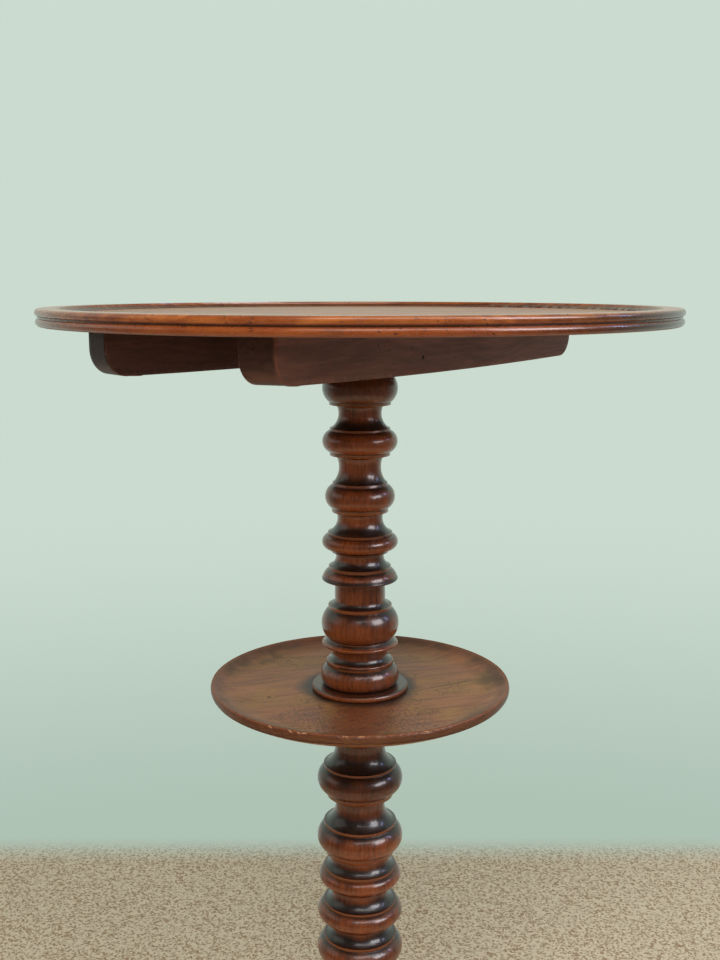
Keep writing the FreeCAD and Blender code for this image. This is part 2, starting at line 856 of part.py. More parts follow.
def leg_section(body, number, shares):
    """One cross section of a leg, square to its run, crowned above and below."""
    out, high, tilt, tall, wide = shares
    sketch = sketch_on(body, f"Section{number}", "YZ_Plane")
    turn = FreeCAD.Rotation(ACROSS, tilt)
    sketch.AttachmentOffset = FreeCAD.Placement(FreeCAD.Vector(0, 0, 0), turn)
    sketch.setExpression("AttachmentOffset.Base.y", (size.leg_top_height * high).text)
    sketch.setExpression("AttachmentOffset.Base.z", (size.foot_reach * out).text)
    half = size.leg_thickness * wide
    crown = half * SECTION_CROWN_SHARE
    rise = size.leg_top_height * tall - crown
    side = rise * SECTION_SIDE_SHARE
    return outline(sketch, [
        (-half, -rise, -side),
        (half, -rise, -crown),
        (half, rise, -side),
        (-half, rise, -crown),
    ])


def make_leg(label):
    """Low curved leg on a pad foot, with a dovetail tongue that slides up into the drum."""
    body = new_body(label.title(), turn=LEG_TURNS[label])
    foot_centre = size.foot_reach - size.foot_radius
    pad = circles(sketch_on(body, "FootPad", "XY_Plane"), [(foot_centre, 0)], size.foot_radius)
    base = extrude(body, "Pad", pad, size.foot_height)
    doc.recompute()
    soft = body.newObject("PartDesign::Fillet", "FootEdges")
    rims = [number for number, edge in enumerate(base.Shape.Edges, start=1) if edge.isClosed()]
    soft.Base = (base, [f"Edge{number}" for number in rims])
    soft.setExpression("Radius", size.foot_round.text)
    sections = [leg_section(body, number, shares) for number, shares in enumerate(LEG_SECTION_SHARES)]
    loft = body.newObject("PartDesign::AdditiveLoft", "Curve")
    loft.Profile = sections[0]
    loft.Sections = sections[1:]
    seat = size.drum_radius + size.wood_clearance
    drum = circles(sketch_on(body, "DrumSeat", "XY_Plane"), [(0, 0)], seat)
    cut(body, drum, back=True)
    tongue = outline(
        sketch_on(body, "Tongue", "XY_Plane", size.column_foot_height), tongue_corners(Measure.of(0.0))
    )
    extrude(body, "Pad", tongue, size.tongue_height)
    housing = outline(sketch_on(body, "BraceHousing", "XY_Plane"), brace_arm(size.wood_clearance))
    cut(body, housing, size.column_foot_height, back=True)
    pilot = circles(
        sketch_on(body, "BraceScrewHole", "XY_Plane"),
        [(size.brace_screw_reach, 0)],
        size.small_screw_shank_radius + size.wood_clearance,
    )
    depth = size.column_foot_height + size.brace_screw_length - size.brace_thickness
    cut(body, pilot, depth + size.wood_clearance, back=True)
    add_node(label, body)


def brace_arm(clearance):
    """Plan of one arm of the brace, with a round end."""
    half = size.brace_arm_width / 2 + clearance
    round_end = half * ARM_END_SHARE
    straight = size.brace_arm_reach + clearance - round_end
    return [(0, -half), (straight, -half), (straight, half, -round_end), (0, half)]


def make_brace():
    """Iron plate with three arms that ties the legs to the foot of the column."""
    body = new_body("LegBrace", z=size.column_foot_height - size.brace_thickness, turn=LEG_TURNS["leg_back"])
    hub = circles(sketch_on(body, "Hub", "XY_Plane"), [(0, 0)], size.brace_hub_radius)
    extrude(body, "Pad", hub, size.brace_thickness)
    arm_sketch = outline(sketch_on(body, "Arm", "XY_Plane"), brace_arm(Measure.of(0.0)))
    arm = extrude(body, "Pad", arm_sketch, size.brace_thickness)
    doc.recompute()
    repeat_for_legs(body, arm)
    countersink(body, [(0, 0)], "XY_Plane", size.screw_head_radius, size.screw_shank_radius)
    countersink(
        body, arm_screw_places(), "XY_Plane", size.small_screw_head_radius, size.small_screw_shank_radius
    )
    add_node("leg_brace", body)


def arm_screw_places():
    """Centres of the screws in the brace's arms, in the brace's own frame."""
    reach = size.brace_screw_reach
    back = -reach / 2
    return [(reach, 0), (back, reach * THIRD_TURN_SHARE), (back, -reach * THIRD_TURN_SHARE)]


def make_catch_plate():
    """Brass plate under the top with two straps that guide the bolt."""
    body = new_body("CatchPlate", z=underside_height)
    half = size.catch_plate_width / 2
    rear = rear_strap_start_y + size.strap_length
    plate = rectangle(sketch_on(body, "Plate", "XY_Plane"), -half, half, plate_front_y, rear)
    extrude(body, "Pad", plate, size.catch_plate_thickness, back=True)
    inner = size.bolt_width / 2 + size.bolt_clearance
    outer = inner + size.strap_thickness
    deep = size.catch_plate_thickness + 2 * bolt_half_gap
    bottom = deep + size.strap_thickness
    for start in (plate_front_y, rear_strap_start_y):
        strap = outline(sketch_on(body, "Strap", "XZ_Plane", -start), [
            (-outer, -size.catch_plate_thickness),
            (-outer, -bottom),
            (outer, -bottom),
            (outer, -size.catch_plate_thickness),
            (inner, -size.catch_plate_thickness),
            (inner, -deep),
            (-inner, -deep),
            (-inner, -size.catch_plate_thickness),
        ])
        extrude(body, "Pad", strap, size.strap_length, back=True)
    countersink(
        body,
        catch_screw_places(),
        "XY_Plane",
        size.small_screw_head_radius,
        size.small_screw_shank_radius,
        -size.catch_plate_thickness,
    )
    add_node("catch_plate", body)


def catch_screw_places():
    """Centres of the catch plate's four screws, in its margins beside the straps."""
    strap = size.bolt_width / 2 + size.bolt_clearance + size.strap_thickness
    across = (strap + size.catch_plate_width / 2) / 2
    rows = (plate_front_y + size.strap_length / 2, rear_strap_start_y + size.strap_length / 2)
    return [(side * across, row) for side in (-1, 1) for row in rows]


def make_bolt():
    """Flat sliding bolt with a chamfered nose, drilled for its knob."""
    body = new_body("CatchBolt", z=underside_height - bolt_drop)
    half = size.bolt_width / 2
    nose = bolt_nose_y + size.bolt_nose_chamfer
    bar = outline(sketch_on(body, "Bar", "XY_Plane"), [
        (size.bolt_nose_chamfer - half, bolt_nose_y),
        (half - size.bolt_nose_chamfer, bolt_nose_y),
        (half, nose),
        (half, bolt_end_y),
        (-half, bolt_end_y),
        (-half, nose),
    ])
    extrude(body, "Pad", bar, size.bolt_thickness, both=True)
    hole = circles(
        sketch_on(body, "KnobHole", "XY_Plane"), [(0, knob_y)], size.knob_stem_radius + size.wood_clearance
    )
    cut(body, hole, size.bolt_thickness, back=False)
    add_node("catch_bolt", body)


def make_knob():
    """Turned brass knob that draws the bolt and stops it between the straps."""
    body = new_body("CatchKnob", y=knob_y, z=underside_height - bolt_drop)
    low = size.bolt_thickness / 2 + size.knob_neck_height
    end = size.bolt_thickness / 2 + size.knob_height
    revolve(body, [
        (0, 0),
        (0, -end),
        (size.knob_face_radius, -end, -size.knob_face_bow),
        (size.knob_stem_radius, -low, -size.knob_swell),
        (size.knob_stem_radius, 0),
    ])
    add_node("catch_knob", body)


def make_catch_screws():
    """Brass screws up through the catch plate into the top."""
    head_height = underside_height - size.catch_plate_thickness
    group("catch_screws", [
        countersunk_screw(
            new_body(f"CatchScrew{number}", x, y, head_height),
            size.small_screw_head_radius,
            size.small_screw_shank_radius,
            size.small_screw_length,
        )
        for number, (x, y) in enumerate(catch_screw_places())
    ])


def make_strike_screws():
    """Brass screws through the strike plate into the block."""
    face = size.block_depth / 2
    group("strike_screws", [
        countersunk_screw(
            new_body(f"StrikeScrew{number}", x, face, block_bottom_height + z, FULL_TURN / 4, ACROSS),
            size.small_screw_head_radius,
            size.small_screw_shank_radius,
            size.small_screw_length,
        )
        for number, (x, z) in enumerate(strike_screw_places())
    ])


def make_brace_screws():
    """Iron screws up through the brace, a stout one in the column and one in each leg."""
    head_height = size.column_foot_height - size.brace_thickness
    screws = [countersunk_screw(
        new_body("ColumnScrew", z=head_height),
        size.screw_head_radius,
        size.screw_shank_radius,
        size.brace_screw_length,
    )]
    for number, (out, side) in enumerate(arm_screw_places()):
        screws.append(countersunk_screw(
            new_body(f"LegScrew{number}", -Measure.of(side), out, head_height),
            size.small_screw_head_radius,
            size.small_screw_shank_radius,
            size.brace_screw_length,
        ))
    group("brace_screws", screws)


def build():
    make_top()
    make_bearer("bearer_left", -1)
    make_bearer("bearer_right", 1)
    make_bearer_screws()
    make_block()
    make_strike()
    make_upper_column()
    make_wedge()
    make_tier()
    make_lower_column()
    for label in LEG_TURNS:
        make_leg(label)
    make_brace()
    make_catch_plate()
    make_bolt()
    make_knob()
    make_catch_screws()
    make_strike_screws()
    make_brace_screws()


def check_and_write():
    """Stop on any failed object, then write each piece to its own file."""
    doc.recompute()
    for item in doc.Objects:
        if "Invalid" in item.State or "Error" in item.State:
            raise RuntimeError(f"{item.Name} failed: {item.State}")
    for node in nodes:
        if node.Shape.isNull() or not node.Shape.isValid():
            raise RuntimeError(f"{node.Label} has no valid shape")
    os.makedirs("parts", exist_ok=True)
    for node in nodes:
        node.Shape.exportStep(f"parts/{node.Label}.step")
        print(f"{node.Label}: {len(node.Shape.Solids)} solids, {node.Shape.Volume:.0f} mm3")


build()
check_and_write()
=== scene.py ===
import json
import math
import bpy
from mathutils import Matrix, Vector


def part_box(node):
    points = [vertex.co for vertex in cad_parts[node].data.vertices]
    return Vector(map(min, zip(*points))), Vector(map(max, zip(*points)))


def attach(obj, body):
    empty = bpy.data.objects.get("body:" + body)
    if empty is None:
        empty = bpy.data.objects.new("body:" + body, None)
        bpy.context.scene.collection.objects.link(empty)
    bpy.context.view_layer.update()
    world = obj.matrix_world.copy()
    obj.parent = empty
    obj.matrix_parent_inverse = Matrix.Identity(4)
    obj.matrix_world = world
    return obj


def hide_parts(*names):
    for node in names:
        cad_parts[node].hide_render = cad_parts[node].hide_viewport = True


bl_info = {
    "name": "Gueridon finish",
    "version": (1, 0, 0),
    "blender": (4, 5, 0),
    "location": "3D View > Sidebar > Gueridon",
    "description": "Dresses a tilting gueridon in turned, worn and polished wood",
    "category": "Object",
}

import bmesh
import bpy
from bpy.props import FloatProperty, FloatVectorProperty, PointerProperty
from bpy.types import Operator, Panel, PropertyGroup
from mathutils import Vector, noise
from mathutils.kdtree import KDTree

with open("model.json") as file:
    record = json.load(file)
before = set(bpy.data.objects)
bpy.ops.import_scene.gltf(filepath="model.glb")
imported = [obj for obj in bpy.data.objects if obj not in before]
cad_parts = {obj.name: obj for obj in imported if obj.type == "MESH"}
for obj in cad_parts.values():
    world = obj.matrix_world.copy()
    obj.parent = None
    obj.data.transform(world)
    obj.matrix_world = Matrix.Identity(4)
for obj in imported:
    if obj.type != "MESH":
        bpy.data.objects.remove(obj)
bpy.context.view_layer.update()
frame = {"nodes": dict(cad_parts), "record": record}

bodies = {node: body for body, nodes in frame["record"]["behaviour"]["bodies"].items() for node in nodes}

# Places that several finishes share, in metres.
groove_lift = 0.007
tier_depth = 0.0075
top_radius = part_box("table_top")[1].x
groove_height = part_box("table_top")[0].z + groove_lift
tier_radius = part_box("tier_tray")[1].x
tier_rim_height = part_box("tier_tray")[1].z
tier_field_height = tier_rim_height - tier_depth
tier_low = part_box("tier_tray")[0].z

# Bands of the top, each with the two ends of its fade, in metres in from the edge; the band of the rim's
# inner wall gets painted shade.
moulding_end = (0.003, 0.006)
rim_wall_start = (0.0165, 0.0185)
rim_wall_end = (0.0215, 0.0235)
top_field_start = (0.021, 0.026)

# Half width of the black groove and height of the seam between the beads, as fades in metres.
groove_width = (0.0003, 0.0010)
bead_seam = (-0.0005, 0.0005)

# The way that the fibres of the top's and the tier's boards run, from the X axis.
top_grain = math.radians(35.5)
tier_grain = math.radians(52)

# The turn from upright to the legs' fibres.
leg_grain = math.radians(118)

# Stretches of the columns darkened with painted shadow of the tier and of the top, in metres below the tier
# and below the top's groove.
tier_painted_shadow = (0.05, 0.13)
tier_painted_shadow_start = (-0.004, 0.0)
top_painted_shadow = (0.06, 0.10)

# Wax in the columns' quirks and worn lines on them, as fades in metres from a crease.
column_quirk = (0.0005, 0.0030)
column_line = (0.0001, 0.0009)

# Swellings of the columns, as fades in metres proud of their mean outline.
belly_proud = (-0.002, 0.003)
ring_proud = (0.004, 0.008)

# Hollows of the columns, as fades in metres below their mean outline.
shoulder_sunk = (-0.0012, 0.0010)
neck_sunk = (0.002, 0.006)

# The column's flange on the tier, in metres over the tier's field.
flange_low = (-0.004, -0.002)
flange_high = (0.004, 0.009)

# Bands of the tier, each with the two ends of its fade, in metres in from its edge.
tier_rim_band = (0.007, 0.014)
tier_smudge_band = (0.006, 0.024)
tier_smudge_start = (0.001, 0.004)
tier_quirk_start = (0.012, 0.02)
tier_worn_band = (0.002, 0.005)

# Wax in the tier's quirks, from a crease, and the worn line on its rim, down from the top, in metres.
tier_quirk = (0.0004, 0.003)
tier_worn_line = (0.0002, 0.0014)

# The dark ring round the column's foot, and the rubbed and crazed patch at the front of the tier, in metres.
foot_ring = (0.042, 0.058)
rubbed_place = Vector((0.050, -0.070, tier_field_height))
rubbed_reach = (0.020, 0.058)
crazed_reach = (0.045, 0.085)

# A long scratch over the tier: its way from the X axis, its width in metres and shares of the radius.
scratch_way = math.radians(61.7)
scratch_width = (0.0003, 0.0016)
scratch_aside_share = 0.23
scratch_start_shares = (0.24, 0.34)
scratch_end_shares = (0.74, 0.88)

# The tier's hollow field, in metres: the lip that stays, its start from the edge, its width and slack.
tier_lip = 0.0010
dish_start = 0.026
dish_width = 0.0245
dish_slack = 0.0002

# How late the hollow turns up to the rim.
dish_power = 1.8

# Chips in the tier's rim: bearing from the X axis and half width, in degrees.
rim_chips = (
    (-87.9, 1.6), (-79.3, 1.5), (-74.6, 3.2), (-59.5, 2.6),
    (-54.5, 2.2), (-47.3, 1.5), (-30.6, 1.6), (112, 2.4),
)

# How far chips reach in and down, and how deep they cut, in metres.
chip_reach = 0.0035
chip_drop = 0.0022
chip_cut_in = 0.0011
chip_cut_down = 0.0013

# Worm holes in the near bearer's side: way along it, depth under the top and radius, in metres.
worm_holes = (
    (-0.100, 0.0107, 0.0009), (-0.088, 0.0089, 0.0007), (-0.086, 0.0153, 0.0008), (-0.080, 0.0251, 0.0006),
    (-0.056, 0.0148, 0.0008), (-0.040, 0.0229, 0.0018), (0.007, 0.0256, 0.0008), (0.010, 0.0089, 0.0011),
)

# The share of a worm hole's radius that is dark all through.
worm_core_share = 0.7

# Where the painted shade on the left bearer gives way, along the X axis in metres.
left_bearer_shade_end = (-0.06, -0.03)

# Wax and wear of the bearers and the legs, as fades in metres from a crease.
bearer_quirk = (0.0003, 0.002)
bearer_worn = (0.0001, 0.0008)
leg_quirk = (0.0004, 0.003)
leg_worn = (0.0004, 0.0020)

# The wax at the legs' joint, from the axis, and the scuffs on their feet, from the floor, in metres.
leg_joint = (0.037, 0.043)
foot_scuff = (0.004, 0.020)

# The floor: its radius, where it fades behind the table and where it fades all round, in metres.
floor_radius = 4.0
floor_back = (0.490, 0.575)
floor_rim = (0.85, 1.15)

# The point that every lamp faces.
lamp_aim = Vector((0, 0, 0.55))


def paint(red, green, blue):
    """A default colour from screen values of 0 to 255."""
    return tuple(part / 255 for part in (red, green, blue))


def linear(colour):
    """The linear colour, with alpha, of a screen colour."""
    parts = [part / 12.92 if part <= 0.04045 else ((part + 0.055) / 1.055) ** 2.4 for part in colour]
    return (*parts, 1.0)


def colour_property(name, description, default):
    return FloatVectorProperty(
        name=name, description=description, default=default, size=3, min=0, max=1, subtype="COLOR_GAMMA"
    )


def length_property(name, description, default):
    return FloatProperty(
        name=name, description=description, default=default, unit="LENGTH", subtype="DISTANCE"
    )


def angle_property(name, description, degrees):
    return FloatProperty(
        name=name, description=description, default=math.radians(degrees), subtype="ANGLE"
    )


class WoodSettings(PropertyGroup):
    """Colours of the wooden pieces."""

    top_pale: colour_property("Top, pale grain", "Early wood of the top", paint(206, 120, 52))
    top_deep: colour_property("Top, deep grain", "Late wood of the top", paint(142, 66, 26))
    column_pale: colour_property("Column, pale grain", "Early wood of the columns", paint(160, 82, 36))
    column_deep: colour_property("Column, deep grain", "Late wood of the columns", paint(70, 34, 20))
    tier_pale: colour_property("Tier, pale grain", "Worn wood of the tier", paint(184, 118, 62))
    tier_deep: colour_property("Tier, deep grain", "Late wood of the tier", paint(132, 74, 38))
    bearer_pale: colour_property("Bearer, pale grain", "Early wood of the bearers", paint(130, 86, 72))
    bearer_deep: colour_property("Bearer, deep grain", "Late wood of the bearers", paint(82, 50, 42))
    worn_edge: colour_property("Worn edge", "Wood that shows where stain has worn off", paint(166, 92, 46))
    rubbed_tier: colour_property("Tier, rubbed", "Red polish at the front and the rim", paint(112, 52, 30))
    bare_chip: colour_property("Chipped wood", "Fresh wood in chips", paint(216, 158, 110))
    # Grime is also the colour of painted shade: under the tier and the top on the columns, on the left
    # bearer, on the top's rim wall and on one end of the top's edge.
    grime_and_shade: colour_property("Grime", "Old wax and dust in hollows", paint(20, 14, 12))
    bloom: colour_property("Bloom", "Dull bloom on worn polish", paint(178, 148, 88))


class MetalSettings(PropertyGroup):
    """Colours of the metal pieces."""

    brass: colour_property("Brass", "Rubbed brass", paint(182, 142, 74))
    tarnish: colour_property("Tarnish", "Brown skin of old brass", paint(92, 66, 36))
    iron: colour_property("Iron", "Blackened iron", paint(56, 52, 50))
    rust: colour_property("Rust", "Patches of rust on the iron", paint(104, 60, 38))


class StageSettings(PropertyGroup):
    """The camera and the colours of the floor and the room."""

    distance: length_property("Distance", "From the camera to the column's axis", 0.961)
    height: length_property("Height", "Height of the camera", 0.780)
    azimuth: angle_property("Azimuth", "Way round the table", 35.5)
    pitch: angle_property("Pitch", "Fall of the camera's axis", 9.77)
    lens: FloatProperty(name="Lens", description="Focal length in millimetres", default=43.1)
    floor: colour_property("Floor", "Pale floor", paint(240, 224, 198))
    floor_speck: colour_property("Floor specks", "Darker specks of the floor", paint(180, 146, 112))
    backdrop: colour_property("Backdrop", "Pale ground behind the table", paint(203, 219, 207))
    backdrop_low: colour_property("Backdrop, low", "The ground near the floor", paint(174, 194, 180))
    shade: colour_property("Shade", "Dim side of the room, seen in the polish", paint(92, 90, 84))


class Signal:
    """A shader socket that can be used in sums."""

    def __init__(self, shades, socket):
        self.shades = shades
        self.socket = socket

    def math(self, operation, *others):
        sockets = dict(enumerate((self, *others)))
        return self.shades.read("ShaderNodeMath", {"operation": operation}, sockets)

    def __add__(self, other):
        return self.math("ADD", other)

    def __radd__(self, other):
        return self.math("ADD", other)

    def __sub__(self, other):
        return self.math("SUBTRACT", other)

    def __rsub__(self, other):
        return self.math("MULTIPLY", -1.0).math("ADD", other)

    def __mul__(self, other):
        return self.math("MULTIPLY", other)

    def __abs__(self):
        return self.math("ABSOLUTE")

    def most(self, other):
        return self.math("MAXIMUM", other)

    def rise(self, low, high):
        """A soft step from zero at low to one at high."""
        return self.shades.read(
            "ShaderNodeMapRange",
            {"interpolation_type": "SMOOTHSTEP"},
            {"Value": self, "From Min": low, "From Max": high},
        )

    def fall(self, low, high):
        """A soft step from one at low to zero at high."""
        return 1 - self.rise(low, high)


def strongest(*marks):
    """The largest of several signals, each times its share."""
    (signal, share), *others = marks
    whole = signal * share
    for signal, share in others:
        whole = whole.most(signal * share)
    return whole


class Shades:
    """A node tree and the nodes that are added to it."""

    def __init__(self, tree):
        self.tree = tree

    def node(self, kind, settings, sockets):
        """A node of a kind, with its settings made first and then its sockets filled or linked."""
        made = self.tree.nodes.new(kind)
        for name, value in settings.items():
            setattr(made, name, value)
        for key, value in sockets.items():
            if isinstance(value, Signal):
                self.tree.links.new(value.socket, made.inputs[key])
            else:
                made.inputs[key].default_value = value
        return made

    def read(self, kind, settings, sockets, output=0):
        return Signal(self, self.node(kind, settings, sockets).outputs[output])

    def scaled(self, vector, scale):
        return self.read("ShaderNodeVectorMath", {"operation": "MULTIPLY"}, {0: vector, 1: scale})

    def shifted(self, vector, shift):
        return self.read("ShaderNodeVectorMath", {"operation": "ADD"}, {0: vector, 1: shift})

    def turned(self, vector, axis, angle):
        sockets = {"Vector": vector, "Angle": angle}
        return self.read("ShaderNodeVectorRotate", {"rotation_type": axis}, sockets)

    def part(self, vector, letter):
        return self.read("ShaderNodeSeparateXYZ", {}, {0: vector}, letter)

    def span(self, vector):
        return self.read("ShaderNodeVectorMath", {"operation": "LENGTH"}, {0: vector}, "Value")

    def along(self, vector, way):
        return self.read("ShaderNodeVectorMath", {"operation": "DOT_PRODUCT"}, {0: vector, 1: way}, "Value")

    def cloud(self, vector, scale, detail=3.0, rough=0.55):
        sockets = {"Vector": vector, "Scale": scale, "Detail": detail, "Roughness": rough}
        return self.read("ShaderNodeTexNoise", {}, sockets)

    def cells(self, vector, scale, output="Distance", feature="F1"):
        sockets = {"Vector": vector, "Scale": scale}
        return self.read("ShaderNodeTexVoronoi", {"feature": feature}, sockets, output)

    def blend(self, share, first, second):
        """First where share is zero and second where it is one."""
        return self.read("ShaderNodeMix", {"data_type": "RGBA"}, {0: share, 6: first, 7: second}, 2)

    def path(self, *rays):
        """One for light that goes along one of these rays."""
        seen = [self.read("ShaderNodeLightPath", {}, {}, f"Is {ray} Ray") for ray in rays]
        return strongest(*((ray, 1.0) for ray in seen))

    def join(self, share, first, second, output):
        """Send the first shader where share is zero and the second where it is one to an output node."""
        joint = self.read("ShaderNodeMixShader", {}, {0: share, 1: first, 2: second})
        self.tree.links.new(joint.socket, self.tree.nodes[output].inputs["Surface"])


class Finish(Shades):
    """A procedural material."""

    def __init__(self, name, **constants):
        self.material = bpy.data.materials.new(name)
        self.material.use_nodes = True
        super().__init__(self.material.node_tree)
        self.shader = self.tree.nodes["Principled BSDF"]
        for socket, value in constants.items():
            self.shader.inputs[socket.replace("_", " ").title().replace("Ior", "IOR")].default_value = value
        self.place = self.read("ShaderNodeTexCoord", {}, {}, "Object")
        self.facing = self.read("ShaderNodeTexCoord", {}, {}, "Normal")
        self.upward = self.part(self.facing, "Z")
        self.reach = self.span(self.scaled(self.place, (1.0, 1.0, 0.0)))
        self.height = self.part(self.place, "Z")

    def layer(self, name):
        """A value that the mesh carries at its corners."""
        return self.read("ShaderNodeAttribute", {"attribute_name": name}, {}, "Fac")

    def relief(self, height, depth):
        """A normal bent by a height field, in metres of depth."""
        return self.read("ShaderNodeBump", {}, {"Strength": 1.0, "Distance": depth, "Height": height})

    def uneven(self, scale, detail=4.0):
        """Noise about zero."""
        return self.cloud(self.place, scale, detail) - 0.5

    def holes(self, scale, chance, size, core_share=0.6):
        """Round worm holes in a few cells of a pattern."""
        distance = self.cells(self.place, scale)
        pick = self.part(self.cells(self.place, scale, "Color"), "X")
        return distance.fall(size * core_share, size) * pick.rise(1 - chance, 1.01 - chance)

    def flecks(self, scale, share):
        """Small ragged dark marks, gathered in patches."""
        patch = self.cloud(self.place, scale / 9).rise(0.44, 0.60)
        return self.cloud(self.place, scale, rough=0.6).rise(0.78 - share, 0.84 - share) * patch

    def wear(self, colour, roughness, normal, coat=None):
        """Join the colour, gloss and relief to the shader."""
        joined = {"Base Color": colour, "Roughness": roughness, "Normal": normal, "Coat Weight": coat}
        for socket, value in joined.items():
            if value is not None:
                self.tree.links.new(value.socket, self.shader.inputs[socket])
        return self.material


class Grain:
    """Year rings, fibres and pores of wood whose fibres run along the Z of a vector."""

    def __init__(self, finish, vector, pith, ring, wander=9.0, stretch=0.07):
        self.finish = finish
        lazy = finish.scaled(vector, (1.0, 1.0, 0.2))
        long = finish.scaled(vector, (1.0, 1.0, stretch))
        bend = finish.cloud(lazy, scale=22.0) - 0.5
        flat = finish.shifted(finish.scaled(vector, (1.0, 1.0, 0.0)), pith)
        reach = finish.span(flat) + bend * (ring * wander)
        self.rings = (reach * (math.tau / ring)).math("SINE") * 0.5 + 0.5
        self.fibres = finish.cloud(long, scale=900.0, detail=2.0, rough=0.6)
        self.streaks = finish.cloud(long, scale=210.0, detail=4.0, rough=0.65)
        tubes = finish.scaled(vector, (1.0, 1.0, 0.06))
        self.pores = finish.cloud(tubes, scale=2300.0, detail=1.0).rise(0.62, 0.72)
        self.mottle = finish.cloud(lazy, scale=42.0, detail=4.0, rough=0.6)

    def colour(self, deep, pale, pore, ring_share=0.12, streak_share=0.45):
        """Deep and pale wood mixed by the figure, with dark pores."""
        finish = self.finish
        figure = (self.streaks - 0.5) * streak_share + (self.fibres - 0.5) * 0.2
        figure = figure + (self.mottle - 0.5) * 0.9 + (self.rings - 0.5) * ring_share
        tone = figure.rise(-0.35 - ring_share / 4, 0.35 + ring_share / 2)
        return finish.blend(self.pores * 0.4, finish.blend(tone, linear(deep), linear(pale)), linear(pore))

    def ridges(self):
        """Height of the figure, for relief."""
        return self.fibres * 0.3 + self.streaks * 0.4 - self.pores * 0.3


def welded(node, weld=0.000002, sliver=0.00001):
    """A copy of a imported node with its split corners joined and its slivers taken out."""
    mesh = bmesh.new()
    mesh.from_mesh(frame["nodes"][node].data)
    bmesh.ops.remove_doubles(mesh, verts=mesh.verts, dist=weld)
    bmesh.ops.dissolve_degenerate(mesh, edges=mesh.edges, dist=sliver)
    return mesh


def refine(mesh, cell):
    """Halve every edge longer than a cell, so that a face can carry wear between its corners."""
    longest = max(edge.calc_length() for edge in mesh.edges)
    for _ in range(math.ceil(math.log2(longest / cell))):
        wide = [edge for edge in mesh.edges if edge.calc_length() > cell]
        bmesh.ops.subdivide_edges(mesh, edges=wide, cuts=1)
        bmesh.ops.triangulate(mesh, faces=[face for face in mesh.faces if len(face.verts) > 3])


def creases(mesh, turn, least=math.radians(24), step=0.001, sliver=2e-8):
    """Points along creases that bend out where turn is 1, or in where it is -1, with slivers left out."""
    spots = []
    for edge in mesh.edges:
        if len(edge.link_faces) != 2 or min(face.calc_area() for face in edge.link_faces) < sliver:
            continue
        if turn * edge.calc_face_angle_signed(0) > least:
            start, end = (corner.co for corner in edge.verts)
            count = max(1, math.ceil(edge.calc_length() / step))
            spots.extend(start.lerp(end, share / count) for share in range(count))
    return spots


def mark_creases(mesh, unmarked=1.0):
    """Keep at each corner its distance from the nearest ridge and the nearest cavity."""
    mesh.normal_update()
    for name, turn in (("ridge", 1), ("cavity", -1)):
        spots = creases(mesh, turn)
        tree = KDTree(max(1, len(spots)))
        for number, spot in enumerate(spots):
            tree.insert(spot, number)
        tree.balance()
        layer = mesh.verts.layers.float.new(name)
        for corner in mesh.verts:
            corner[layer] = tree.find(corner.co)[2] if spots else unmarked


def mark_turning(mesh, reach=0.007, step=0.0005):
    """Keep at each corner how far it stands proud of the turned outline's running mean."""
    low = min(corner.co.z for corner in mesh.verts)
    high = max(corner.co.z for corner in mesh.verts)
    count = math.ceil((high - low) / step) + 1
    outline = [0.0] * count
    for face in mesh.faces:
        heights = [corner.co.z for corner in face.verts]
        wide = max(corner.co.xy.length for corner in face.verts)
        for row in range(round((min(heights) - low) / step), round((max(heights) - low) / step) + 1):
            outline[row] = max(outline[row], wide)
    span = round(reach / step)
    windows = [outline[max(0, row - span):row + span + 1] for row in range(count)]
    means = [sum(window) / len(window) for window in windows]
    layer = mesh.verts.layers.float.new("proud")
    for corner in mesh.verts:
        corner[layer] = corner.co.xy.length - means[round((corner.co.z - low) / step)]


def waver(mesh, amount, spread, core=0.018):
    """Move the surface outside a core by a little smooth noise, as hand tools leave it."""
    for corner in mesh.verts:
        outward = Vector((corner.co.x, corner.co.y, 0))
        if outward.length > core:
            corner.co += outward.normalized() * noise.noise(corner.co / spread) * amount


def piece(node, mesh, material, crease=35):
    """A shown piece from a mesh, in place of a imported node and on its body, sharp at creases in degrees."""
    mesh.normal_update()
    data = bpy.data.meshes.new(f"{node}_dressed")
    mesh.to_mesh(data)
    mesh.free()
    data.shade_smooth()
    data.set_sharp_from_angle(angle=math.radians(crease))
    data.materials.append(material)
    made = bpy.data.objects.new(f"{node}_dressed", data)
    bpy.context.scene.collection.objects.link(made)
    made.modifiers.new("even_normals", "WEIGHTED_NORMAL").keep_sharp = True
    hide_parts(node)
    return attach(made, bodies[node])


def coat_nodes(material, *nodes):
    """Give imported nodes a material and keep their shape."""
    for node in nodes:
        data = frame["nodes"][node].data
        data.materials.clear()
        data.materials.append(material)


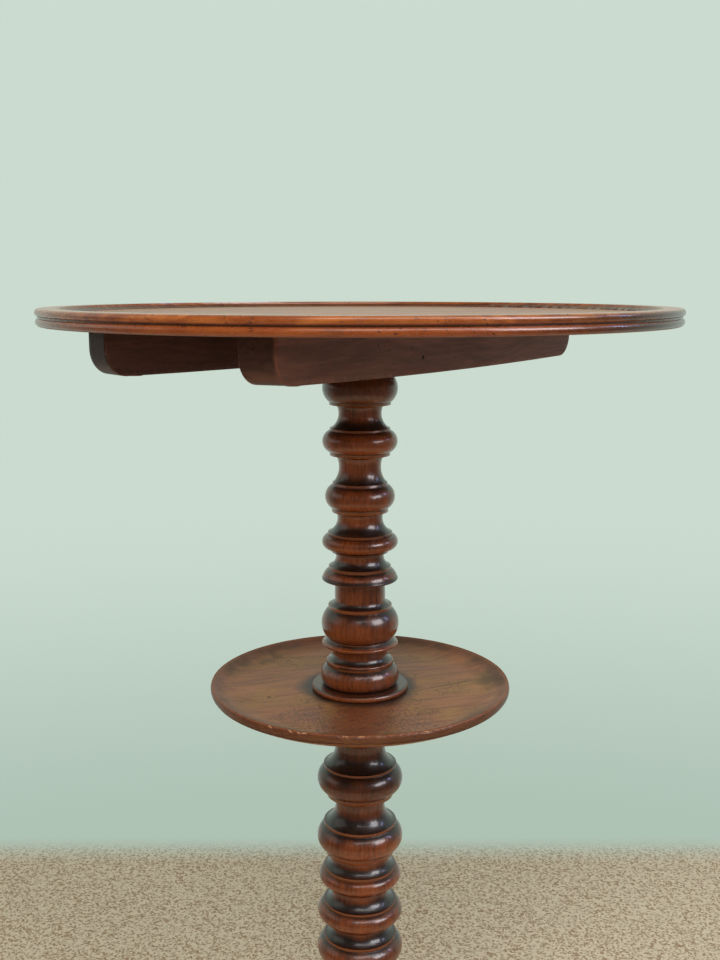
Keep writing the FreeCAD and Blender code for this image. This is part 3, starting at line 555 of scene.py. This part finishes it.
def top_finish(wood):
    """Polished walnut with worm holes, a black groove and a worn field."""
    finish = Finish("polished_top", coat_roughness=0.14)
    board = finish.turned(finish.place, "Z_AXIS", -top_grain)
    fibres = finish.turned(board, "Y_AXIS", math.pi / 2)
    grain = Grain(finish, fibres, pith=(0.05, 0.31, 0.0), ring=0.0085)
    colour = grain.colour(wood.top_deep, wood.top_pale, wood.grime_and_shade, ring_share=0.3)
    inset = top_radius - finish.reach
    over_groove = finish.height - groove_height
    under = finish.upward.fall(-0.9, -0.6)
    edge = inset.fall(*moulding_end)
    lower = over_groove.fall(*bead_seam) * edge
    colour = finish.blend(lower * 0.7, colour, linear(wood.top_deep))
    groove = abs(over_groove).fall(*groove_width) * edge
    # The rim's inner wall is darkened with painted shade.
    wall = inset.rise(*rim_wall_start) * inset.fall(*rim_wall_end) * (1 - under)
    large_holes = finish.holes(scale=130.0, chance=0.26, size=0.11)
    holes = large_holes.most(finish.holes(scale=260.0, chance=0.14, size=0.13))
    smudge = finish.cloud(finish.place, scale=42.0, detail=4.0, rough=0.68).rise(0.58, 0.74)
    marks = finish.flecks(scale=340.0, share=0.18)
    # Both ends of the edge darken as end grain; the end that faces along the grain darkens more, and that
    # extra is painted shade.
    onward = finish.along(finish.facing, (math.cos(top_grain), math.sin(top_grain), 0.0))
    end_grain = strongest((onward.rise(0.2, 0.75), 0.85), (onward.fall(-0.8, -0.3), 0.4)) * edge
    dark = strongest((groove, 0.9), (holes, 0.9), (smudge, 0.3), (wall, 0.75), (marks, 0.75))
    dark = dark.most(end_grain)
    colour = finish.blend(dark, colour, linear(wood.grime_and_shade))
    colour = finish.blend(under * 0.6, colour, linear(wood.bearer_pale))
    field = inset.rise(*top_field_start) * (1 - under)
    bloom = finish.cloud(finish.place, scale=9.0, detail=4.0, rough=0.6).rise(0.42, 0.72) * field
    colour = finish.blend(bloom * 0.4, colour, linear(wood.bloom))
    lines = finish.scaled(finish.place, (40.0, 900.0, 1.0))
    scratches = finish.cloud(lines, scale=1.0, detail=2.0).rise(0.66, 0.74) * field
    rough = 0.20 + grain.streaks * 0.14 + under * 0.35
    rough = rough + field * 0.08 + scratches * 0.12 + (holes + smudge) * 0.12
    height_field = grain.ridges() - holes * 2.5 - scratches * 0.3
    coat = (1 - under) * (1 - field * 0.6) * 0.4
    return finish.wear(colour, rough, finish.relief(height_field, depth=0.00008), coat)


def turned_finish(wood, name, shift):
    """Polished red-brown wood with black wax in the hollows and bright worn lines."""
    finish = Finish(name, coat_roughness=0.06)
    fibres = finish.shifted(finish.place, shift)
    grain = Grain(finish, fibres, pith=(0.045, 0.02, 0.0), ring=0.0042, stretch=0.3)
    colour = grain.colour(wood.column_deep, wood.column_pale, wood.grime_and_shade, streak_share=0.14)
    uneven = finish.uneven(scale=70.0)
    proud = finish.layer("proud")
    hollow = uneven * 0.003 - proud
    tilt = finish.upward + uneven * 0.5
    belly = tilt.fall(-0.55, 0.15) * proud.rise(*belly_proud)
    colour = finish.blend(belly * 0.6, colour, linear(wood.column_pale))
    shoulder = tilt.rise(0.10, 0.55) * hollow.rise(*shoulder_sunk)
    quirk = (finish.layer("cavity") + uneven * 0.0016).fall(*column_quirk)
    sunk = hollow.rise(*neck_sunk)
    spots = finish.holes(scale=210.0, chance=0.12, size=0.13)
    over_tier = finish.height - tier_field_height
    flange = (over_tier + uneven * 0.006).fall(*flange_high) * over_tier.rise(*flange_low)
    flange = flange * finish.upward.rise(0.2, 0.7)
    marks = finish.flecks(scale=520.0, share=0.18)
    dark = strongest((shoulder, 0.95), (quirk, 0.9), (sunk, 0.35), (spots, 0.8), (flange, 0.8))
    dark = dark.most(marks * 0.6)
    colour = finish.blend(dark, colour, linear(wood.grime_and_shade))
    # Painted shadow under the tier and under the top, laid on the columns as a darker colour.
    below_tier = tier_low - finish.height
    painted_shadow = below_tier.fall(*tier_painted_shadow) * below_tier.rise(*tier_painted_shadow_start)
    painted_shadow = painted_shadow.most((groove_height - finish.height).fall(*top_painted_shadow))
    colour = finish.blend(painted_shadow * 0.55, colour, linear(wood.grime_and_shade))
    line = (finish.layer("ridge") + uneven * 0.0008).fall(*column_line)
    rubbed = proud.rise(*ring_proud) * abs(finish.upward).fall(0.5, 0.9)
    colour = finish.blend(strongest((line, 0.5), (rubbed, 0.35)), colour, linear(wood.worn_edge))
    rough = 0.22 + grain.streaks * 0.12 + dark * 0.05 + spots * 0.2
    height_field = grain.ridges() + uneven * 0.6 - spots * 2.0
    return finish.wear(colour, rough, finish.relief(height_field, depth=0.00018), 0.4 - spots * 0.3)


def tier_finish(wood):
    """Worn walnut with a dull bloom, a dark ring round the column, a red rim, scratches and chips."""
    finish = Finish("worn_tier", coat_roughness=0.18)
    board = finish.turned(finish.place, "Z_AXIS", -tier_grain)
    fibres = finish.turned(board, "Y_AXIS", math.pi / 2)
    grain = Grain(finish, fibres, pith=(0.04, 0.16, 0.0), ring=0.0065)
    colour = grain.colour(wood.tier_deep, wood.tier_pale, wood.grime_and_shade, ring_share=0.2)
    upper = finish.upward.rise(0.5, 0.9)
    sloping = finish.upward.rise(0.2, 0.5)
    inset = tier_radius - finish.reach
    cloud = finish.cloud(finish.place, scale=24.0, detail=4.0, rough=0.62)
    drift = cloud - 0.5
    bloom = cloud.rise(0.42, 0.66) * upper
    colour = finish.blend(bloom * 0.4, colour, linear(wood.bloom))
    front = finish.span(finish.shifted(finish.place, -rubbed_place))
    rubbed = (front + drift * 0.06).fall(*rubbed_reach) * upper
    colour = finish.blend(rubbed * 0.6, colour, linear(wood.rubbed_tier))
    band = (inset - drift * 0.008).fall(*tier_rim_band) * sloping
    colour = finish.blend(band * 0.5, colour, linear(wood.rubbed_tier))
    side = abs(finish.upward).fall(0.5, 0.8)
    colour = finish.blend(side * 0.7, colour, linear(wood.column_deep))
    foot = (finish.reach + drift * 0.02).fall(*foot_ring) * upper
    back = (inset - drift * 0.05).fall(*tier_smudge_band) * inset.rise(*tier_smudge_start)
    back = back * cloud.rise(0.38, 0.68) * sloping
    web = finish.shifted(finish.scaled(board, (6.0, 15.0, 6.0)), cloud)
    crack = finish.cells(web, scale=2.2, feature="DISTANCE_TO_EDGE").fall(0.004, 0.02)
    crack = crack * cloud.rise(0.45, 0.6) * upper
    skin = finish.shifted(finish.scaled(board, (260.0, 170.0, 200.0)), cloud * 3.0)
    crazing = finish.cells(skin, scale=1.0, feature="DISTANCE_TO_EDGE").fall(0.02, 0.09)
    crazing = crazing * (front + drift * 0.09).fall(*crazed_reach) * upper
    across = finish.along(finish.place, (math.sin(scratch_way), -math.cos(scratch_way), 0.0))
    onward = finish.along(finish.place, (math.cos(scratch_way), math.sin(scratch_way), 0.0))
    aside = across - tier_radius * scratch_aside_share
    scratch = abs(aside + drift * 0.006).fall(*scratch_width) * upper
    scratch = scratch * onward.rise(*(tier_radius * share for share in scratch_start_shares))
    scratch = scratch * onward.fall(*(tier_radius * share for share in scratch_end_shares))
    holes = finish.holes(scale=170.0, chance=0.12, size=0.12)
    quirk = finish.layer("cavity").fall(*tier_quirk) * inset.rise(*tier_quirk_start)
    marks = finish.flecks(scale=420.0, share=0.16)
    dark = strongest((foot, 0.9), (back, 0.55), (crack, 0.6), (holes, 0.85), (quirk, 0.8), (crazing, 0.55))
    dark = dark.most(strongest((marks, 0.5), (scratch, 0.6)))
    colour = finish.blend(dark, colour, linear(wood.grime_and_shade))
    worn = (tier_rim_height - finish.height + finish.uneven(scale=160.0) * 0.003).fall(*tier_worn_line)
    worn = worn * inset.fall(*tier_worn_band)
    colour = finish.blend(worn * 0.5, colour, linear(wood.worn_edge))
    chip = finish.layer("chip").rise(0.40, 0.60)
    colour = finish.blend(chip * 0.85, colour, linear(wood.bare_chip))
    rough = 0.34 + cloud * 0.16 + bloom * 0.08 + chip * 0.3
    height_field = grain.ridges() + cloud * 0.8 - crack * 0.8 - crazing * 0.8 - holes * 2.0
    return finish.wear(colour, rough, finish.relief(height_field, depth=0.00025), rubbed * 0.2)


def bearer_finish(wood):
    """Dull near-black wood with worn corners and old holes."""
    finish = Finish("dark_bearer", specular_ior_level=0.3)
    fibres = finish.turned(finish.place, "X_AXIS", math.pi / 2)
    grain = Grain(finish, fibres, pith=(0.03, 0.05, 0.0), ring=0.0070)
    colour = grain.colour(wood.bearer_deep, wood.bearer_pale, wood.grime_and_shade)
    end_grain = abs(finish.part(finish.facing, "Y")).rise(0.6, 0.95)
    colour = finish.blend(end_grain * 0.6, colour, linear(wood.grime_and_shade))
    # The left bearer is darkened with painted shade, where the near bearer and the top keep light off it.
    left_bearer_shade = finish.part(finish.place, "X").fall(*left_bearer_shade_end)
    colour = finish.blend(left_bearer_shade * 0.48, colour, linear(wood.grime_and_shade))
    large_holes = finish.holes(scale=95.0, chance=0.30, size=0.11)
    holes = large_holes.most(finish.holes(scale=230.0, chance=0.12, size=0.12))
    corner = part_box("bearer_right")[1]
    for along, down, radius in worm_holes:
        near = finish.shifted(finish.place, (-corner.x, -along, down - corner.z))
        holes = holes.most(finish.span(near).fall(radius * worm_core_share, radius))
    quirk = finish.layer("cavity").fall(*bearer_quirk)
    colour = finish.blend(strongest((holes, 0.92), (quirk, 0.7)), colour, linear(wood.grime_and_shade))
    worn = (finish.layer("ridge") + finish.uneven(scale=120.0) * 0.004).fall(*bearer_worn)
    colour = finish.blend(worn * 0.25, colour, linear(wood.worn_edge))
    rough = 0.44 + grain.streaks * 0.2 + holes * 0.2
    height_field = grain.ridges() * 1.5 - holes * 3.0
    return finish.wear(colour, rough, finish.relief(height_field, depth=0.00028))


def leg_finish(wood, name, angle):
    """The columns' wood, with its fibres along a leg."""
    finish = Finish(name, coat_roughness=0.08)
    falling = finish.turned(finish.turned(finish.place, "Z_AXIS", -angle), "Y_AXIS", leg_grain)
    grain = Grain(finish, falling, pith=(0.05, 0.03, 0.0), ring=0.0048)
    colour = grain.colour(wood.column_deep, wood.column_pale, wood.grime_and_shade)
    uneven = finish.uneven(scale=60.0, detail=3.0)
    joint = (finish.reach + uneven * 0.006).fall(*leg_joint)
    scuff = (finish.height + uneven * 0.02).fall(*foot_scuff)
    quirk = finish.layer("cavity").fall(*leg_quirk)
    dark = strongest((joint, 0.8), (scuff, 0.6), (quirk, 0.8))
    colour = finish.blend(dark, colour, linear(wood.grime_and_shade))
    worn = (finish.layer("ridge") + uneven * 0.004).fall(*leg_worn)
    colour = finish.blend(worn * 0.45, colour, linear(wood.worn_edge))
    rough = 0.24 + grain.streaks * 0.14 + scuff * 0.2
    return finish.wear(colour, rough, finish.relief(grain.ridges(), depth=0.0002), 0.35 - scuff * 0.3)


def plug_finish(wood):
    """End grain of the plugs and the wedge."""
    finish = Finish("plug_wood")
    grain = Grain(finish, finish.place, pith=(0.012, 0.02, 0.0), ring=0.0022, wander=2.0)
    colour = grain.colour(wood.bearer_pale, wood.tier_deep, wood.grime_and_shade, ring_share=0.5)
    rough = 0.5 + grain.streaks * 0.2
    return finish.wear(colour, rough, finish.relief(grain.rings - grain.pores, depth=0.0002))


def brass_finish(metal):
    """Old brass, bright where it is rubbed."""
    finish = Finish("old_brass", metallic=1.0)
    cloud = finish.cloud(finish.place, scale=140.0, detail=4.0, rough=0.6)
    fine = finish.cloud(finish.place, scale=900.0, detail=2.0)
    skin = cloud.rise(0.40, 0.66)
    colour = finish.blend(skin, linear(metal.brass), linear(metal.tarnish))
    rough = 0.26 + skin * 0.22 + fine * 0.12
    return finish.wear(colour, rough, finish.relief(cloud * 0.6 + fine * 0.4, depth=0.00012))


def iron_finish(metal):
    """Blackened iron with patches of rust and small pits."""
    finish = Finish("black_iron", metallic=0.85)
    cloud = finish.cloud(finish.place, scale=120.0, detail=5.0, rough=0.65)
    pits = finish.cells(finish.place, scale=420.0).fall(0.12, 0.34)
    rust = cloud.rise(0.55, 0.72)
    colour = finish.blend(rust * 0.7, linear(metal.iron), linear(metal.rust))
    rough = 0.42 + rust * 0.3 + pits * 0.08
    return finish.wear(colour, rough, finish.relief(cloud * 0.8 - pits * 0.7, depth=0.0002))


def dish_tier(mesh):
    """Hollow the tier's field up to a thin rim, as a turner leaves it."""
    for corner in mesh.verts:
        reach = corner.co.xy.length
        if corner.co.z > tier_field_height - dish_slack and reach < tier_radius - tier_lip:
            share = min(1.0, max(0.0, (reach - tier_radius + dish_start) / dish_width))
            corner.co.z = tier_field_height + (tier_rim_height - tier_field_height) * share ** dish_power


def chip_rim(mesh, rag_scale=620, rag_least=0.25, rag_gain=1.5, sharpness=2.2):
    """Break small ragged chips out of the tier's rim and mark the bare wood."""
    layer = mesh.verts.layers.float.new("chip")
    for corner in mesh.verts:
        inward = (tier_radius - corner.co.xy.length) / chip_reach
        down = (tier_rim_height - corner.co.z) / chip_drop
        if inward >= 1 or down >= 1:
            continue
        angle = math.degrees(math.atan2(corner.co.y, corner.co.x))
        deep = max(max(0.0, 1 - abs(angle - where) / wide) for where, wide in rim_chips)
        rag = rag_least + rag_gain * abs(noise.noise(corner.co * rag_scale))
        share = min(1.0, deep * (1 - max(0.0, inward)) * (1 - max(0.0, down)) * rag * sharpness)
        corner[layer] = share
        outward = Vector((corner.co.x, corner.co.y, 0)).normalized()
        corner.co -= outward * chip_cut_in * share + Vector((0, 0, chip_cut_down)) * share


class MakeTop(Operator):
    """Dress the table top"""

    bl_idname = "gueridon.make_top"
    bl_label = "Table top"

    def execute(self, context):
        mesh = welded("table_top")
        waver(mesh, amount=0.0003, spread=0.09)
        piece("table_top", mesh, top_finish(context.scene.gueridon_wood), crease=20)
        return {"FINISHED"}


class MakeBearers(Operator):
    """Dress the bearers, the pivot block, the plugs and the wedge"""

    bl_idname = "gueridon.make_bearers"
    bl_label = "Bearers and block"

    def execute(self, context):
        wood = context.scene.gueridon_wood
        material = bearer_finish(wood)
        for node in ("bearer_left", "bearer_right", "pivot_block"):
            mesh = welded(node)
            refine(mesh, cell=0.006)
            mark_creases(mesh)
            piece(node, mesh, material)
        coat_nodes(plug_finish(wood), "bearer_plugs", "tenon_wedge")
        return {"FINISHED"}


class MakeColumns(Operator):
    """Dress the two turned columns"""

    bl_idname = "gueridon.make_columns"
    bl_label = "Turned columns"

    def execute(self, context):
        for node, shift in (("upper_column", (0.0, 0.0, 0.0)), ("lower_column", (0.37, 0.26, 0.0))):
            mesh = welded(node)
            refine(mesh, cell=0.01)
            mark_creases(mesh)
            mark_turning(mesh)
            waver(mesh, amount=0.00025, spread=0.03)
            piece(node, mesh, turned_finish(context.scene.gueridon_wood, f"{node}_polish", shift))
        return {"FINISHED"}


class MakeTier(Operator):
    """Dress the tier"""

    bl_idname = "gueridon.make_tier"
    bl_label = "Tier"

    def execute(self, context):
        mesh = welded("tier_tray")
        refine(mesh, cell=0.0042)
        dish_tier(mesh)
        mark_creases(mesh)
        chip_rim(mesh)
        waver(mesh, amount=0.0004, spread=0.06)
        piece("tier_tray", mesh, tier_finish(context.scene.gueridon_wood))
        return {"FINISHED"}


class MakeLegs(Operator):
    """Dress the legs, the brace and the iron screws"""

    bl_idname = "gueridon.make_legs"
    bl_label = "Legs and brace"

    def execute(self, context):
        wood = context.scene.gueridon_wood
        for node, angle in (("leg_back", 90), ("leg_left", 210), ("leg_right", 330)):
            mesh = welded(node)
            refine(mesh, cell=0.008)
            mark_creases(mesh)
            piece(node, mesh, leg_finish(wood, f"{node}_polish", math.radians(angle)))
        iron = iron_finish(context.scene.gueridon_metal)
        coat_nodes(iron, "leg_brace", "brace_screws", "bearer_screws")
        return {"FINISHED"}


class MakeCatch(Operator):
    """Dress the brass catch and the strike plate"""

    bl_idname = "gueridon.make_catch"
    bl_label = "Catch"

    def execute(self, context):
        brass = brass_finish(context.scene.gueridon_metal)
        coat_nodes(brass, "catch_plate", "catch_bolt", "catch_knob", "catch_screws")
        coat_nodes(brass, "strike_plate", "strike_screws")
        return {"FINISHED"}


class SetStage(Operator):
    """Make the floor, the light and the camera"""

    bl_idname = "gueridon.set_stage"
    bl_label = "Stage"

    def execute(self, context):
        stage = context.scene.gueridon_stage
        context.scene.view_settings.view_transform = "Standard"
        self.side = Vector((math.sin(stage.azimuth), -math.cos(stage.azimuth), 0))
        self.make_floor(stage)
        self.make_room(context, stage)
        self.make_lamp("window", bearing=60, lift=29, away=2.2, size=(1.2, 0.9), power=31.0,
                       colour=(0.97, 0.95, 1.0), diffuse=False)
        self.make_lamp("far_window", bearing=98, lift=26, away=2.6, size=(0.22, 0.7), power=5.0,
                       colour=(0.50, 0.55, 1.0), diffuse=False)
        self.make_lamp("left_panel", bearing=-88, lift=24, away=2.4, size=(1.8, 1.4), power=5.0,
                       colour=(1.0, 0.94, 0.88))
        self.make_lamp("ceiling", bearing=25, lift=54, away=2.4, size=(2.6, 1.0), power=27.0,
                       colour=(0.98, 0.97, 0.99))
        self.make_lamp("front_panel", bearing=-12, lift=33, away=2.6, size=(2.0, 1.4), power=26.0,
                       colour=(1.0, 0.97, 0.92), glossy=False)
        self.make_lamp("low_panel", bearing=56, lift=3, away=2.6, size=(1.6, 1.0), power=6.5,
                       colour=(0.98, 0.96, 1.0), glossy=False)
        self.make_camera(context, stage)
        return {"FINISHED"}

    def make_lamp(self, name, bearing, lift, away, size, power, colour, glossy=True, diffuse=True):
        """An area lamp that faces the column, at a bearing to the camera's right and a lift in degrees."""
        data = bpy.data.lights.new(name, "AREA")
        data.shape = "RECTANGLE"
        data.size, data.size_y = size
        data.energy = power
        data.color = colour
        lamp = bpy.data.objects.new(name, data)
        lamp.visible_glossy = glossy
        lamp.visible_diffuse = diffuse
        angle = math.atan2(self.side.y, self.side.x) + math.radians(bearing)
        flat = Vector((math.cos(angle), math.sin(angle), 0)) * math.cos(math.radians(lift))
        way = flat + Vector((0, 0, math.sin(math.radians(lift))))
        lamp.location = lamp_aim + way * away
        lamp.rotation_euler = way.to_track_quat("Z", "Y").to_euler()
        bpy.context.scene.collection.objects.link(lamp)

    def make_floor(self, stage):
        """A pale floor that fades away behind and round the table, and hides nothing from below."""
        mesh = bmesh.new()
        bmesh.ops.create_circle(mesh, cap_ends=True, segments=128, radius=floor_radius)
        data = bpy.data.meshes.new("floor")
        mesh.to_mesh(data)
        mesh.free()
        floor = bpy.data.objects.new("floor", data)
        bpy.context.scene.collection.objects.link(floor)
        finish = Finish("pale_floor")
        speck = finish.part(finish.cells(finish.place, scale=420.0, output="Color"), "X")
        colour = finish.blend(speck.rise(0.3, 1.0), linear(stage.floor), linear(stage.floor_speck))
        finish.wear(colour, speck * 0.2 + 0.65, finish.relief(speck, depth=0.0004))
        behind = finish.along(finish.place, -self.side).rise(*floor_back)
        below = finish.read("ShaderNodeNewGeometry", {}, {}, "Backfacing")
        far = behind.most(finish.reach.rise(*floor_rim)).most(below) * finish.path("Camera", "Glossy")
        ghost = finish.read("ShaderNodeBsdfTransparent", {}, {})
        finish.join(far, Signal(finish, finish.shader.outputs[0]), ghost, "Material Output")
        data.materials.append(finish.material)

    def make_room(self, context, stage):
        """A plain backdrop for the eye, and for the polish a pale side behind and a dim side in front."""
        world = bpy.data.worlds.new("room")
        context.scene.world = world
        world.use_nodes = True
        room = Shades(world.node_tree)
        view = room.read("ShaderNodeTexCoord", {}, {}, "Generated")
        behind = room.along(view, -self.side).rise(-0.1, 0.75)
        light = room.blend(behind, linear(stage.shade), linear(stage.backdrop))
        lift = room.part(view, "Z").rise(-0.46, -0.18)
        ground = room.blend(lift, linear(stage.backdrop_low), linear(stage.backdrop))
        seen = room.read("ShaderNodeBackground", {}, {"Color": ground})
        felt = room.read("ShaderNodeBackground", {}, {"Color": light})
        room.join(room.path("Camera", "Transmission"), felt, seen, "World Output")

    def make_camera(self, context, stage):
        """The camera, at its height and turned down to the table."""
        data = bpy.data.cameras.new("camera")
        data.lens = stage.lens
        camera = bpy.data.objects.new("camera", data)
        camera.location = self.side * stage.distance + Vector((0, 0, stage.height))
        away = self.side * math.cos(stage.pitch) + Vector((0, 0, math.sin(stage.pitch)))
        camera.rotation_euler = away.to_track_quat("Z", "Y").to_euler()
        context.scene.collection.objects.link(camera)
        context.scene.camera = camera


class GueridonPanel(Panel):
    """Lists the pieces of the gueridon"""

    bl_idname = "VIEW3D_PT_gueridon"
    bl_label = "Gueridon"
    bl_space_type = "VIEW_3D"
    bl_region_type = "UI"
    bl_category = "Gueridon"

    def draw(self, context):
        for maker in makers:
            self.layout.operator(maker.bl_idname)
        for name, group in groups.items():
            box = self.layout.box()
            for setting in group.__annotations__:
                box.prop(getattr(context.scene, name), setting)


makers = (MakeTop, MakeBearers, MakeColumns, MakeTier, MakeLegs, MakeCatch, SetStage)
groups = {"gueridon_wood": WoodSettings, "gueridon_metal": MetalSettings, "gueridon_stage": StageSettings}


def register():
    for kind in (*groups.values(), *makers, GueridonPanel):
        bpy.utils.register_class(kind)
    for name, group in groups.items():
        setattr(bpy.types.Scene, name, PointerProperty(type=group))


def unregister():
    for name in groups:
        delattr(bpy.types.Scene, name)
    for kind in (GueridonPanel, *makers, *groups.values()):
        bpy.utils.unregister_class(kind)


def main():
    register()
    bpy.ops.gueridon.make_top()
    bpy.ops.gueridon.make_bearers()
    bpy.ops.gueridon.make_columns()
    bpy.ops.gueridon.make_tier()
    bpy.ops.gueridon.make_legs()
    bpy.ops.gueridon.make_catch()
    bpy.ops.gueridon.set_stage()


if __name__ == "__main__":
    main()
